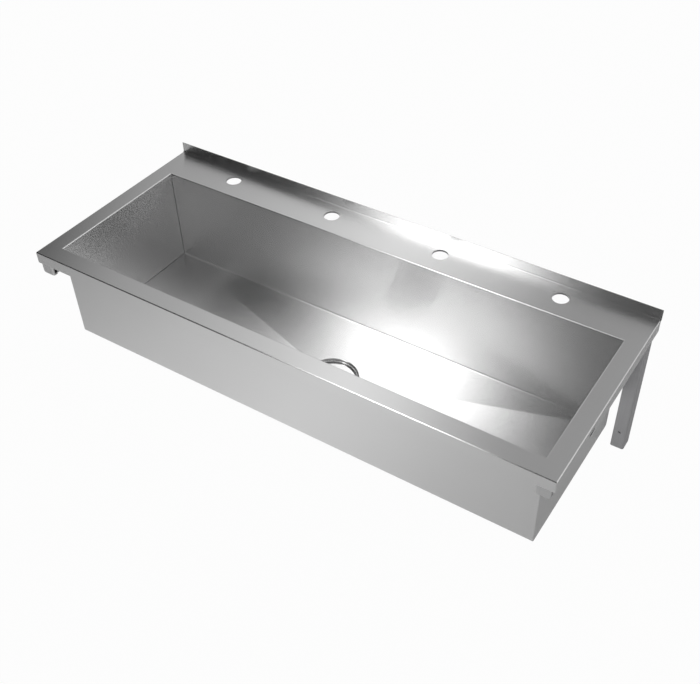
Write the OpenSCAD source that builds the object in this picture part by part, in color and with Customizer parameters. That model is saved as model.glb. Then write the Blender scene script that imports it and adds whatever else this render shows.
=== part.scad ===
// Wall-hung stainless trough sink: a long folded bowl under a flat rim, a tap landing with an
// upstand along the wall, a basket waste and a bracket under each end.
// The wall is the plane Y = 0, the front is towards -Y, the rim's top is Z = 0 and X = 0 is mid-length.

/* [Trough] */
// Overall length along the wall
trough_l = 1200; // [900:10:1800]
// Overall depth from the wall to the front
trough_d = 480; // [440:5:560]
// Thickness of the sheet
sheet_t = 1.2; // [0.9:0.1:1.5]
// Outer radius of the folded edges
edge_bend = 2.5; // [2:0.1:4]

/* [Rim] */
// Width of the rim at each end
end_rim_w = 40; // [38:1:60]
// Width of the rim along the front
front_rim_w = 41; // [30:1:60]
// Width of the tap landing, from the wall to the bowl
landing_w = 95; // [80:1:130]
// Height of the flange that hangs from the front and end rims
flange_h = 26; // [20:1:40]
// Depth of the lip that turns down into the bowl
lip_h = 12; // [6:1:20]
// Height of the upstand above the rim
upstand_h = 24; // [15:1:60]
// Inner radius of the cove between the landing and the upstand
cove_r = 3; // [2:0.5:6]

/* [Bowl] */
// Depth from the rim to the edge of the floor
bowl_depth = 230; // [150:5:300]
// Fall of the floor from its edge to the waste
floor_fall = 10; // [6:1:20]
// Inner radius of the bends between the long walls and the floor
bowl_bend = 4; // [4:1:15]

/* [Taps] */
// Number of tap holes
tap_count = 4; // [2:1:5]
// Diameter of a tap hole
tap_hole_d = 35; // [28:1:38]
// Distance from the trough's end to the nearest tap hole, with the row in the middle
tap_end = 189; // [150:1:230]
// Sideways place of the middle of the row of tap holes
tap_row_x = -4; // [-20:1:20]
// Distance from the wall to the tap holes
tap_row_y = 41; // [35:1:50]
// Distance from the trough's end to the plate that stiffens the landing
plate_end = 60; // [50:5:90]
// Width of that plate
plate_w = 64; // [56:1:70]
// Thickness of that plate
plate_t = 3; // [2:0.5:5]

/* [Waste] */
// Distance from the wall to the centre of the waste
waste_y = 268; // [240:1:290]
// Radius of the recess pressed into the floor
recess_r = 58; // [57.5:0.5:64]
// Depth of the recess below the floor
recess_depth = 8; // [7:0.5:12]
// Outer radius of the waste's flange
lip_r = 57.5; // [56.5:0.5:57.5]
// Outer radius of the step inside that flange
step_r = 55.5; // [55:0.1:56]
// Radius of the fold between the flange and the step
step_bend = 2; // [1.6:0.1:2.4]
// Outer radius of the waste's cup
cup_r = 44; // [42:0.5:45]
// Depth of the cup below the recess
cup_depth = 24; // [20:1:35]
// Thickness of the waste's pressed metal
waste_t = 1.2; // [0.8:0.1:1.5]
// Radius of the opening in the cup's floor
outlet_r = 20; // [17:0.5:22]
// Outer radius of the tail
tail_r = 29.8; // [28:0.1:31]
// Thickness of the tail's wall
tail_t = 3; // [2:0.5:4]
// Length of the tail below the cup
tail_l = 40; // [25:1:60]

/* [Seals and lock nut] */
// Thickness of the gasket above the recess
gasket_t = 1.5; // [1:0.1:2]
// Thickness of the rubber washer below the recess
washer_t = 3; // [2:0.5:5]
// Outer radius of that washer
washer_r = 57; // [54:0.5:59]
// Thickness of the slip ring
slip_t = 1; // [0.5:0.1:2]
// Height of the lock nut
lock_nut_h = 10; // [8:0.5:12]
// Outer radius of the lock nut's body
lock_nut_r = 51; // [49:0.5:55]
// Reach of the lock nut's lugs
lug_r = 58; // [56:0.5:63]
// Width of a lug
lug_w = 9; // [6:0.5:14]
// Number of lugs
lug_count = 6; // [4:1:8]

/* [Strainer basket] */
// Outer radius of the basket's cup
basket_r = 36; // [34:0.5:38]
// Outer radius of the basket's rim
basket_rim_r = 52.5; // [51:0.5:53]
// Thickness of the basket's metal
basket_t = 0.8; // [0.6:0.1:1.2]
// Radius of the rubber plug under the basket
plug_r = 24; // [23:0.5:26]
// Thickness of that plug
plug_t = 4; // [3:0.5:5]
// Diameter of a drain hole in the basket's floor, round the plug
drain_d = 3.2; // [2:0.1:4]
// Number of drain holes
drain_count = 24; // [8:1:30]
// Number of slots in the basket's wall
slot_count = 16; // [8:1:18]
// Width of a slot
slot_w = 3; // [2:0.5:4]
// Radius of the stem
stem_r = 3; // [2:0.5:4]
// Radius of the knob
knob_r = 9; // [7:0.5:12]
// Height of the knob
knob_h = 7; // [5:0.5:9]

/* [Brackets] */
// Width of a bracket's leg and arm
channel_w = 30; // [24:1:32]
// Thickness of the bracket metal
channel_t = 2; // [1.5:0.1:3]
// Outer radius of the bracket's bends
channel_bend = 4; // [3:0.5:6]
// Distance from the rim's top to the underside of an arm
arm_h = 50; // [35:1:70]
// Depth of a leg from the wall
leg_d = 34; // [25:1:45]
// Distance from the rim's top to the foot of a leg
leg_h = 345; // [290:5:400]
// Radius of the corner cut from an arm's front tab
tab_corner_r = 6; // [4:0.5:8]
// Diameter of a wall screw hole
screw_hole_d = 6.5; // [5:0.5:9]
// Distance from the foot of a leg to its lower hole
screw_foot = 47; // [30:1:60]
// Distance from the rim's top to a leg's upper hole
screw_top = 98; // [85:1:130]

/* [Bracket fixings] */
// Radius of a stud
stud_r = 3; // [2.5:0.5:4]
// Length of a stud below the arm
stud_end = 9; // [8:0.5:15]
// Distance from the front of the trough to the front studs
stud_front = 80; // [60:1:120]
// Distance from the wall to the rear studs
stud_back = 110; // [100:1:140]
// Outer radius of a stud's washer
stud_washer_r = 6.2; // [5:0.1:8]
// Thickness of that washer
stud_washer_t = 1.6; // [1:0.1:2]
// Width across the flats of a nut
nut_af = 10; // [9:0.5:13]
// Height of a nut
nut_h = 5; // [4:0.5:6]
// Length of the slot in an end flange
flange_slot_l = 22; // [16:1:40]
// Height of that slot
flange_slot_h = 7; // [5:0.5:9]
// Distance from the rim's top to the middle of that slot
flange_slot_z = 13; // [11:0.5:15]
// Distance from the wall to the middle of that slot
flange_slot_y = 333; // [200:1:380]

/* [Small fittings] */
// Width of the earth tag
tag_w = 20; // [15:1:30]
// Reach of the earth tag from the bowl
tag_reach = 22; // [18:1:30]
// Height of the tag's welded leg
tag_leg = 14; // [8:1:20]
// Thickness of the earth tag
tag_t = 1.5; // [1:0.1:2]
// Diameter of the earth tag's hole
tag_hole_d = 5.2; // [4:0.1:7]
// Distance from the end of the bowl to the middle of the earth tag
tag_end = 175; // [30:5:300]
// Height of the earth tag above the edge of the floor
tag_rise = 35; // [35:5:100]
// Length of a sound pad
pad_l = 150; // [100:5:160]
// Width of a sound pad
pad_w = 140; // [100:5:150]
// Thickness of a sound pad
pad_t = 2.5; // [1.5:0.5:4]
// Distance from the end of the bowl to a sound pad
pad_end_gap = 50; // [30:5:80]

/* [Clearances] */
// Clearance of a piece that lifts out
lift_gap = 0.3; // [0.2:0.05:0.5]
// Radial clearance between a screw or stem and the pieces on it
thread_gap = 0.05; // [0.02:0.01:0.1]
// Radial clearance of a hole that a stud or a cup passes through
pass_gap = 0.4; // [0.2:0.1:0.6]

/* [Hidden] */
$fn = 96;

// Overrun of a cut past the face that it cuts
cut = 1;

// Bowl: half its length inside, and its front and back walls' inner faces
bowl_hx = trough_l / 2 - end_rim_w;
bowl_front = -trough_d + front_rim_w;
bowl_back = -landing_w;
// Edges of the floor, where the bends end
floor_front = bowl_front + bowl_bend;
floor_back = bowl_back - bowl_bend;
// Lowest point of the floor, which lies under the waste
apex_z = -bowl_depth - floor_fall;
// Where the cove starts on the landing
cove_y = -sheet_t - cove_r;
// Taps: the distance from one hole to the next
tap_pitch = (trough_l - 2 * tap_end) / (tap_count - 1);
// Earth tag: its middle and its top
tag_x = bowl_hx - tag_end;
tag_z = -bowl_depth + tag_rise;

// Waste: the recess's ledge, the underside of the flat on the gasket, and the cup's floor
seat_z = apex_z - recess_depth;
flange_z = seat_z + gasket_t;
cup_floor_z = seat_z - cup_depth;
// Underside of the recess's ledge
ledge_z = seat_z - sheet_t;
washer_z = ledge_z - washer_t;
slip_z = washer_z - slip_t;

// Strainer basket: its rim, its plug and its floor
basket_rim_z = flange_z + waste_t + lift_gap;
plug_z = cup_floor_z + waste_t + lift_gap;
basket_floor_z = plug_z + plug_t;
// Ring of drain holes, midway between the plug and the basket's wall
drain_ring_r = (plug_r + basket_r - basket_t) / 2;
// Nut on the stem: its height, and its width across the flats
stem_nut_h = 4;
stem_nut_af = 9;
// Knob: its underside, and the radius of its rounded edge
knob_z = basket_rim_z + basket_t;
knob_cap_r = 3;

// Bracket: its inner side, its middle, and the front and back of its arm
channel_x = bowl_hx + edge_bend;
channel_mid = channel_x + channel_w / 2;
arm_front = -trough_d + edge_bend;
arm_back = -leg_d;
// Lower end of the studs, and the place of each
stud_z = -arm_h - stud_end;
stud_places = [for (s = [-1, 1], y = [-trough_d + stud_front, -stud_back]) [s * channel_mid, y]];

// Puts its children at each stud
module at_studs() {
    for (p = stud_places) translate([p[0], p[1], 0]) children();
}

// Extrudes a profile drawn as depth and height along the trough, centred
module along_x(len) {
    rotate([90, 0, 90]) linear_extrude(height = len, center = true) children();
}

// Extrudes a profile drawn as length and height from y0 to y1
module along_y(y0, y1) {
    translate([0, y1, 0]) rotate([90, 0, 0]) linear_extrude(height = y1 - y0) children();
}

// A quarter of a ring that turns a flat on the right into a leg below, with its corner at the origin
module fold(r, t) {
    intersection() {
        translate([r, -r]) difference() {
            circle(r = r);
            circle(r = r - t);
        }
        translate([0, -r]) square(r);
    }
}

// A flat strip of width w whose two edges fold down by a and b
module channel_profile(w, a, b, r, t) {
    translate([r, -t]) square([w - 2 * r, t]);
    fold(r, t);
    translate([0, -a]) square([t, a - r]);
    translate([w, 0]) mirror([1, 0]) {
        fold(r, t);
        translate([0, -b]) square([t, b - r]);
    }
}

// A flat strip of width w whose left edge alone folds down by a
module angle_profile(w, a, r, t) {
    translate([r, -t]) square([w - r, t]);
    fold(r, t);
    translate([0, -a]) square([t, a - r]);
}

// A plan outline, deep enough to cut every rim strip
module plan(points) {
    translate([0, 0, -flange_h - lip_h - cut]) linear_extrude(height = flange_h + lip_h + 2 * cut) polygon(points);
}

// A tube from z0 to z1 with outer radius r1 and inner radius r0
module ring(r0, r1, z0, z1) {
    translate([0, 0, z0]) rotate_extrude() translate([r0, 0]) square([r1 - r0, z1 - z0]);
}

// Puts its children on the waste's axis
module at_waste() {
    translate([0, -waste_y, 0]) children();
}

// Holes for the taps, through everything from z0 to z1
module tap_holes(z0, z1) {
    for (i = [0 : tap_count - 1])
        translate([tap_row_x + (i - (tap_count - 1) / 2) * tap_pitch, -tap_row_y, z0])
            cylinder(d = tap_hole_d, h = z1 - z0);
}

module front_rim() color("silver") intersection() {
    along_x(trough_l) translate([-trough_d, 0])
        channel_profile(front_rim_w, flange_h, lip_h, edge_bend, sheet_t);
    plan([[-trough_l / 2, -trough_d], [trough_l / 2, -trough_d], [bowl_hx, bowl_front], [-bowl_hx, bowl_front]]);
}

// Rim strip along the left end, with its outer edge on the trough's end and its lip in the bowl
module end_rim() difference() {
    intersection() {
        translate([-trough_l / 2, 0, 0]) union() {
            along_y(-trough_d, bowl_back + edge_bend)
                channel_profile(end_rim_w, flange_h, lip_h, edge_bend, sheet_t);
            along_y(bowl_back + edge_bend, cove_y)
                angle_profile(end_rim_w - edge_bend, flange_h, edge_bend, sheet_t);
        }
        plan([[-trough_l / 2, -trough_d], [-bowl_hx, bowl_front], [-bowl_hx, bowl_back],
            [-bowl_hx - edge_bend, bowl_back + edge_bend], [-bowl_hx - edge_bend, cove_y], [-trough_l / 2, cove_y]]);
    }
    translate([-trough_l / 2 - cut, -flange_slot_y, -flange_slot_z]) rotate([0, 90, 0]) {
        for (s = [-1, 1])
            translate([0, s * (flange_slot_l - flange_slot_h) / 2, 0])
                cylinder(d = flange_slot_h, h = sheet_t + 2 * cut);
        translate([-flange_slot_h / 2, -(flange_slot_l - flange_slot_h) / 2, 0])
            cube([flange_slot_h, flange_slot_l - flange_slot_h, sheet_t + 2 * cut]);
    }
}

module left_rim() color("silver") end_rim();

module right_rim() color("silver") mirror([1, 0, 0]) end_rim();

module tap_landing() color("silver") difference() {
    intersection() {
        along_x(trough_l) translate([bowl_back, 0])
            angle_profile(cove_y - bowl_back, lip_h, edge_bend, sheet_t);
        plan([[-bowl_hx, bowl_back], [bowl_hx, bowl_back], [bowl_hx + edge_bend, bowl_back + edge_bend],
            [bowl_hx + edge_bend, cove_y], [-bowl_hx - edge_bend, cove_y],
            [-bowl_hx - edge_bend, bowl_back + edge_bend]]);
    }
    tap_holes(-sheet_t - cut, cut);
}

module upstand() color("gainsboro") along_x(trough_l) {
    translate([-sheet_t, cove_r]) square([sheet_t, upstand_h - cove_r]);
    translate([0, -sheet_t]) mirror([1, 0]) mirror([0, 1]) fold(cove_r + sheet_t, sheet_t);
}

module landing_plate() color("darkgray") difference() {
    translate([-trough_l / 2 + plate_end, -tap_row_y - plate_w / 2, -sheet_t - plate_t])
        cube([trough_l - 2 * plate_end, plate_w, plate_t]);
    tap_holes(-sheet_t - plate_t - cut, -sheet_t + cut);
}

// Sheet of the floor: four flat falls that meet on creases from the corners to the waste
module floor_sheet() {
    edge = [[-bowl_hx, floor_front], [bowl_hx, floor_front], [bowl_hx, floor_back], [-bowl_hx, floor_back]];
    polyhedron(
        points = concat(
            [for (p = edge) [p[0], p[1], -bowl_depth]], [[0, -waste_y, apex_z]],
            [for (p = edge) [p[0], p[1], -bowl_depth - sheet_t]], [[0, -waste_y, apex_z - sheet_t]]),
        faces = concat(
            [for (i = [0 : 3]) [4, (i + 1) % 4, i]],
            [for (i = [0 : 3]) [9, 5 + i, 5 + (i + 1) % 4]],
            [for (i = [0 : 3]) [i, (i + 1) % 4, 5 + (i + 1) % 4, 5 + i]]));
}

// Everything inside the bowl above its floor
module above_floor() {
    edge = [[-bowl_hx, floor_front], [bowl_hx, floor_front], [bowl_hx, floor_back], [-bowl_hx, floor_back]];
    polyhedron(
        points = concat(
            [for (p = edge) [p[0], p[1], cut]],
            [for (p = edge) [p[0], p[1], -bowl_depth]], [[0, -waste_y, apex_z]]),
        faces = concat(
            [[3, 2, 1, 0]],
            [for (i = [0 : 3]) [i, (i + 1) % 4, 4 + (i + 1) % 4, 4 + i]],
            [for (i = [0 : 3]) [8, 4 + i, 4 + (i + 1) % 4]]));
}

// A long wall of the bowl and its bend, drawn with its outer face on the left
module wall_profile() {
    translate([0, -bowl_depth + bowl_bend]) square([sheet_t, bowl_depth - bowl_bend - lip_h]);
    translate([0, -bowl_depth - sheet_t]) mirror([0, 1]) fold(bowl_bend + sheet_t, sheet_t);
}

module bowl_wrap() color("silver") {
    along_x(2 * bowl_hx) {
        translate([bowl_front - sheet_t, 0]) wall_profile();
        translate([bowl_back + sheet_t, 0]) mirror([1, 0]) wall_profile();
    }
    difference() {
        floor_sheet();
        at_waste() translate([0, 0, ledge_z]) cylinder(r = recess_r, h = -bowl_depth - ledge_z + cut);
    }
    difference() {
        at_waste() {
            ring(recess_r, recess_r + sheet_t, ledge_z, -bowl_depth);
            ring(cup_r + pass_gap, recess_r + sheet_t, ledge_z, seat_z);
        }
        above_floor();
    }
}

// End plate, cut to the outer outline of the folded bowl
module bowl_end() {
    r = bowl_bend + sheet_t;
    front = bowl_front - sheet_t;
    back = bowl_back + sheet_t;
    low = -bowl_depth - sheet_t;
    rotate([90, 0, 90]) linear_extrude(height = sheet_t) {
        translate([front, low + r]) square([back - front, -lip_h - low - r]);
        translate([front + r, low]) square([back - front - 2 * r, r]);
        for (y = [front + r, back - r]) translate([y, low + r]) circle(r = r);
    }
}

module right_bowl_end() color("silver") translate([bowl_hx, 0, 0]) bowl_end();

module left_bowl_end() color("silver") mirror([1, 0, 0]) translate([bowl_hx, 0, 0]) bowl_end();

// Upright box section of the right bracket, drilled through both walls for the wall screws
module bracket_leg() difference() {
    translate([channel_x, -leg_d, -leg_h]) linear_extrude(height = leg_h - sheet_t) {
        mirror([0, 1]) channel_profile(channel_w, leg_d / 2, leg_d / 2, channel_bend, channel_t);
        translate([0, leg_d]) channel_profile(channel_w, leg_d / 2, leg_d / 2, channel_bend, channel_t);
    }
    for (z = [-leg_h + screw_foot, -screw_top])
        translate([channel_mid, -leg_d - cut, z]) rotate([-90, 0, 0])
            cylinder(d = screw_hole_d, h = leg_d + 2 * cut);
}

// Level channel of the right bracket, open to the rim, with a tab folded across its front
module bracket_arm() difference() {
    union() {
        along_y(arm_front + channel_bend, arm_back) translate([channel_x, -arm_h])
            mirror([0, 1]) channel_profile(channel_w, arm_h - sheet_t, arm_h - sheet_t, channel_bend, channel_t);
        difference() {
            translate([channel_x, arm_front, -arm_h]) linear_extrude(height = arm_h - sheet_t)
                mirror([0, 1]) angle_profile(channel_w, 2 * channel_bend, channel_bend, channel_t);
            translate([channel_x + channel_w - tab_corner_r, arm_front - cut, -arm_h + tab_corner_r])
                rotate([-90, 0, 0]) difference() {
                    cube([tab_corner_r + cut, tab_corner_r + cut, channel_t + 2 * cut]);
                    translate([0, 0, -cut]) cylinder(r = tab_corner_r, h = channel_t + 4 * cut);
                }
        }
    }
    at_studs() translate([0, 0, -arm_h - cut]) cylinder(r = stud_r + pass_gap, h = channel_t + 2 * cut);
}

module right_bracket_leg() color("darkgray") bracket_leg();

module right_bracket_arm() color("darkgray") bracket_arm();

module left_bracket_leg() color("darkgray") mirror([1, 0, 0]) bracket_leg();

module left_bracket_arm() color("darkgray") mirror([1, 0, 0]) bracket_arm();

module bracket_studs() color("gray") at_studs()
    translate([0, 0, stud_z]) cylinder(r = stud_r, h = -sheet_t - stud_z);

module stud_washers() color("lightgray") at_studs()
    ring(stud_r + thread_gap, stud_washer_r, -arm_h - stud_washer_t, -arm_h);

// A six-sided nut of width af across its flats, from z0 to z1, on a thread of radius r
module hex_nut(af, r, z0, z1) translate([0, 0, z0]) difference() {
    cylinder(d = af / cos(30), h = z1 - z0, $fn = 6);
    translate([0, 0, -cut]) cylinder(r = r + thread_gap, h = z1 - z0 + 2 * cut);
}

module stud_nuts() color("lightgray") at_studs()
    hex_nut(nut_af, stud_r, -arm_h - stud_washer_t - nut_h, -arm_h - stud_washer_t);

module waste_body() color("whitesmoke") at_waste() {
    rotate_extrude() {
        // flange, the fold at its inner edge, and the step down to the flat on the gasket
        translate([step_r - waste_t + step_bend, apex_z - waste_t])
            square([lip_r - step_r + waste_t - step_bend, waste_t]);
        translate([step_r - waste_t, apex_z]) fold(step_bend, waste_t);
        translate([step_r - waste_t, flange_z]) square([waste_t, apex_z - step_bend - flange_z]);
        translate([cup_r - waste_t, flange_z]) square([step_r - cup_r, waste_t]);
        // cup and its floor
        translate([cup_r - waste_t, cup_floor_z]) square([waste_t, flange_z - cup_floor_z]);
        translate([outlet_r, cup_floor_z]) square([cup_r - waste_t - outlet_r, waste_t]);
    }
    ring(tail_r - tail_t, tail_r, cup_floor_z - tail_l, cup_floor_z);
}

module waste_gasket() color("dimgray") at_waste()
    ring(cup_r + pass_gap, step_r, seat_z, flange_z);

module waste_washer() color("dimgray") at_waste()
    ring(cup_r + pass_gap, washer_r, washer_z, ledge_z);

module slip_ring() color("lightgray") at_waste()
    ring(cup_r + pass_gap, washer_r, slip_z, washer_z);

module waste_lock_nut() color("lightgray") at_waste() difference() {
    union() {
        translate([0, 0, slip_z - lock_nut_h]) cylinder(r = lock_nut_r, h = lock_nut_h);
        for (i = [0 : lug_count - 1]) rotate(i * 360 / lug_count)
            translate([0, -lug_w / 2, slip_z - lock_nut_h]) cube([lug_r, lug_w, lock_nut_h]);
    }
    translate([0, 0, slip_z - lock_nut_h - cut]) cylinder(r = cup_r + thread_gap, h = lock_nut_h + 2 * cut);
}

module strainer_basket() color("whitesmoke") at_waste() difference() {
    union() {
        ring(basket_r - basket_t, basket_rim_r, basket_rim_z, basket_rim_z + basket_t);
        ring(basket_r - basket_t, basket_r, basket_floor_z, basket_rim_z);
        ring(stem_r + thread_gap, basket_r - basket_t, basket_floor_z, basket_floor_z + basket_t);
    }
    for (i = [0 : drain_count - 1]) rotate(i * 360 / drain_count)
        translate([drain_ring_r, 0, basket_floor_z - cut]) cylinder(d = drain_d, h = basket_t + 2 * cut);
    for (i = [0 : slot_count - 1]) rotate(i * 360 / slot_count)
        translate([basket_r - basket_t - cut, -slot_w / 2, basket_floor_z + slot_w])
            cube([basket_t + 2 * cut, slot_w, basket_rim_z - basket_floor_z - 2 * slot_w]);
}

module basket_plug() color("dimgray") at_waste()
    ring(stem_r + thread_gap, plug_r, plug_z, basket_floor_z);

module basket_knob() color("whitesmoke") at_waste() {
    translate([0, 0, plug_z - stem_nut_h]) cylinder(r = stem_r, h = knob_z - plug_z + stem_nut_h);
    translate([0, 0, knob_z]) rotate_extrude() {
        square([knob_r, knob_h - knob_cap_r]);
        square([knob_r - knob_cap_r, knob_h]);
        intersection() {
            translate([knob_r - knob_cap_r, knob_h - knob_cap_r]) circle(r = knob_cap_r);
            square([knob_r, knob_h]);
        }
    }
}

module stem_nut() color("lightgray") at_waste()
    hex_nut(stem_nut_af, stem_r, plug_z - stem_nut_h, plug_z);

module earth_tag() color("lightgray") difference() {
    translate([tag_x - tag_w / 2, bowl_back + sheet_t, tag_z - tag_leg]) {
        cube([tag_w, tag_t, tag_leg]);
        translate([0, 0, tag_leg - tag_t]) cube([tag_w, tag_reach, tag_t]);
    }
    translate([tag_x, bowl_back + sheet_t + (tag_reach + tag_t) / 2, tag_z - tag_t - cut])
        cylinder(d = tag_hole_d, h = tag_t + 2 * cut);
}

// Underside of an end fall of the floor at a distance x from the waste
function under_floor(x) = apex_z - sheet_t + floor_fall * x / bowl_hx;

module sound_pads() color("dimgray") {
    x1 = bowl_hx - pad_end_gap;
    x0 = x1 - pad_l;
    for (s = [0, 1]) mirror([s, 0, 0]) along_y(-waste_y - pad_w / 2, -waste_y + pad_w / 2)
        polygon([[x0, under_floor(x0)], [x1, under_floor(x1)],
            [x1, under_floor(x1) - pad_t], [x0, under_floor(x0) - pad_t]]);
}

front_rim();
left_rim();
right_rim();
tap_landing();
upstand();
landing_plate();
bowl_wrap();
left_bowl_end();
right_bowl_end();
left_bracket_leg();
left_bracket_arm();
right_bracket_leg();
right_bracket_arm();
bracket_studs();
stud_washers();
stud_nuts();
waste_body();
waste_gasket();
waste_washer();
slip_ring();
waste_lock_nut();
strainer_basket();
basket_plug();
basket_knob();
stem_nut();
earth_tag();
sound_pads();
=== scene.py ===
# %% [markdown]
# # A wall-hung stainless trough sink
# This lesson dresses a long folded steel trough: a flat rim, a tap landing with an upstand, a bowl
# whose floor falls to a basket waste, and a bracket under each end. The CAD model is loaded first and
# never changes. Every piece made here sits where its CAD node sits, in metres, with the wall at
# Y = 0, the front towards -Y and the rim's top at Z = 0.

# %% Load the frame
import math

import bmesh
import bpy
from mathutils import Matrix, Vector, noise


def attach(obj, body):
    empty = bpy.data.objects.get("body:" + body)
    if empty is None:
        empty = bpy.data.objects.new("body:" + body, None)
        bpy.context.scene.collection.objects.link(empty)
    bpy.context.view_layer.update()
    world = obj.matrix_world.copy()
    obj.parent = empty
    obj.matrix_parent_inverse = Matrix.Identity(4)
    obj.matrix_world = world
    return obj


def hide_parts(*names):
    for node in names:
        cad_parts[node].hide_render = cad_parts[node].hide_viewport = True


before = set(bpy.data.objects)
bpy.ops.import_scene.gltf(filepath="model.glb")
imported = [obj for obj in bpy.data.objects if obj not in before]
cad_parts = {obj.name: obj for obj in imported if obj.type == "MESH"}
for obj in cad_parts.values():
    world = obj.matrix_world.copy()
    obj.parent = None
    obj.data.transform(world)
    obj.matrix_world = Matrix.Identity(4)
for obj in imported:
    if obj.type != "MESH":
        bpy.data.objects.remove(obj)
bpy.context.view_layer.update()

# %% [markdown]
# ## The camera
# The trough is seen from the front right and from well above it. A camera is a matrix: its columns
# are the directions to its right, up and back, and its place. Perspective sets the lens, and a small
# shift puts the trough where it belongs in the frame, which is 700 by 684 pixels.

# %% Place the camera
FRAME_WIDTH, FRAME_HEIGHT = 700, 684
FOCAL_PIXELS = 979.78
MIDDLE_X, MIDDLE_Y = 374.82, 353.18
SENSOR = 36

camera_data = bpy.data.cameras.new("camera")
camera_data.sensor_fit = "HORIZONTAL"
camera_data.sensor_width = SENSOR
camera_data.lens = SENSOR * FOCAL_PIXELS / FRAME_WIDTH
camera_data.shift_x = (FRAME_WIDTH / 2 - MIDDLE_X) / FRAME_WIDTH
camera_data.shift_y = (MIDDLE_Y - FRAME_HEIGHT / 2) / FRAME_WIDTH
camera = bpy.data.objects.new("camera", camera_data)
bpy.context.scene.collection.objects.link(camera)

to_right = Vector((0.8451, 0.5345, -0.01023)).normalized()
ahead = Vector((-0.4006, 0.62048, -0.67418)).normalized()
to_up = to_right.cross(ahead).normalized()
to_right = ahead.cross(to_up)
camera.matrix_world = Matrix.Translation((0.9119, -1.5045, 1.2316)) @ Matrix(
    (to_right, to_up, -ahead)).transposed().to_4x4()
bpy.context.scene.camera = camera
print("lens", round(camera_data.lens, 2), "mm")

# %% [markdown]
# ## Sizes
# Sheet metal is thin, so its look comes from its bends. These are the trough's own sizes, written in
# millimetres as a fitter would, and turned to metres by one factor.

# %% Sizes of the trough
MM = 0.001
HALF_LENGTH = 600 * MM
DEPTH = 480 * MM
SHEET = 1.2 * MM
EDGE_BEND = 2.5 * MM
BOWL_HALF = 560 * MM
BOWL_FRONT = -439 * MM
BOWL_BACK = -95 * MM
BOWL_BEND = 4 * MM
BOWL_DEPTH = 230 * MM
FLOOR_FALL = 10 * MM
FLANGE = 26 * MM
LIP = 12 * MM
UPSTAND = 24 * MM
COVE = 3 * MM
COVE_START = -SHEET - COVE
WASTE = Vector((0, -268 * MM))
SEAT = -248 * MM
RECESS = 58 * MM
WASTE_HOLE = 44.4 * MM
TAP_HOLE = 17.5 * MM
TAP_PITCH = 274 * MM
TAP_MIDDLE, TAP_ROW = -4 * MM, -41 * MM
TAP_PLACES = [TAP_MIDDLE + (i - 1.5) * TAP_PITCH for i in range(4)]
print("tap holes at", [round(x, 3) for x in TAP_PLACES])

# %% [markdown]
# ## Building with rows
# Nearly everything here is a row of points moved along a bend, so one helper lays quads between rows.
# It also writes a UV map in metres whose U runs along the grain of the brushing. The shader reads its
# streaks and its stretched highlights from that map.

# %% Lay quads between rows
def new_shape():
    shape = bmesh.new()
    shape.loops.layers.uv.new("grain")
    return shape


def add_face(shape, corners, uvs):
    """One face from points, with a UV for each corner."""
    face = shape.faces.new([shape.verts.new(c) for c in corners])
    layer = shape.loops.layers.uv.active
    for loop, uv in zip(face.loops, uvs):
        loop[layer].uv = uv
    return face


def add_rows(shape, rows, closed=False, flat=None):
    """Quads between neighbouring rows. U runs along a row and V across, or flat(point) gives both."""
    across = 0.0
    for above, below in zip(rows, rows[1:]):
        step = sum((a - b).length for a, b in zip(above, below)) / len(above)
        along = 0.0
        count = len(above)
        for j in range(count if closed else count - 1):
            k = (j + 1) % count
            span = (above[j] - above[k]).length
            corners = [above[j], below[j], below[k], above[k]]
            if flat:
                uvs = [flat(c) for c in corners]
            else:
                uvs = [(along, across), (along, across + step),
                       (along + span, across + step), (along + span, across)]
            add_face(shape, corners, uvs)
            along += span
        across += step


# %% [markdown]
# ## Finishing a mesh
# The rows are welded into one skin, turned the right way out and, where the piece is sheet metal,
# given its thickness behind the skin, as real sheet has its thickness behind the face one sees.

# %% Turn a shape into a mesh
def to_object(name, shape, facing=None):
    """Welds the shape and links it. facing is a point outside the skin that its faces look towards."""
    bmesh.ops.remove_doubles(shape, verts=shape.verts, dist=0.004 * MM)
    bmesh.ops.dissolve_degenerate(shape, edges=shape.edges, dist=0.004 * MM)
    bmesh.ops.recalc_face_normals(shape, faces=shape.faces)
    if facing is not None:
        biggest = max(shape.faces, key=lambda f: f.calc_area())
        if biggest.normal.dot(Vector(facing) - biggest.calc_center_median()) < 0:
            bmesh.ops.reverse_faces(shape, faces=shape.faces)
    mesh = bpy.data.meshes.new(name)
    shape.to_mesh(mesh)
    shape.free()
    obj = bpy.data.objects.new(name, mesh)
    bpy.context.scene.collection.objects.link(obj)
    return obj


def bake(obj):
    """Applies every modifier on the object."""
    graph = bpy.context.evaluated_depsgraph_get()
    mesh = bpy.data.meshes.new_from_object(obj.evaluated_get(graph))
    obj.modifiers.clear()
    obj.data = mesh


def thicken(obj, thickness):
    solid = obj.modifiers.new("thickness", "SOLIDIFY")
    solid.thickness = thickness
    solid.offset = -1
    solid.use_even_offset = True
    bake(obj)


# %% [markdown]
# ## Holes, joints and finish
# A hole is cut with a solid cutter, as a drill or a punch would cut it, and what is welded together is
# joined into one mesh. The last helper shades a piece and names its body and the CAD nodes that it
# stands for. Smooth shading with weighted normals keeps the big flats flat and lets the light roll
# round the bends.

# %% Cut, join and finish
def cut_with(obj, cutters):
    """Cuts the cutters out of the piece and deletes them."""
    for cutter in cutters:
        hole = obj.modifiers.new("hole", "BOOLEAN")
        hole.object = cutter
        hole.operation = "DIFFERENCE"
        hole.solver = "EXACT"
    bake(obj)
    for cutter in cutters:
        bpy.data.objects.remove(cutter)


def join_into(first, others):
    """One mesh from several that lie in the same frame."""
    shape = bmesh.new()
    for obj in [first] + others:
        shape.from_mesh(obj.data)
    shape.to_mesh(first.data)
    shape.free()
    for obj in others:
        bpy.data.objects.remove(obj)
    return first


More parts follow.
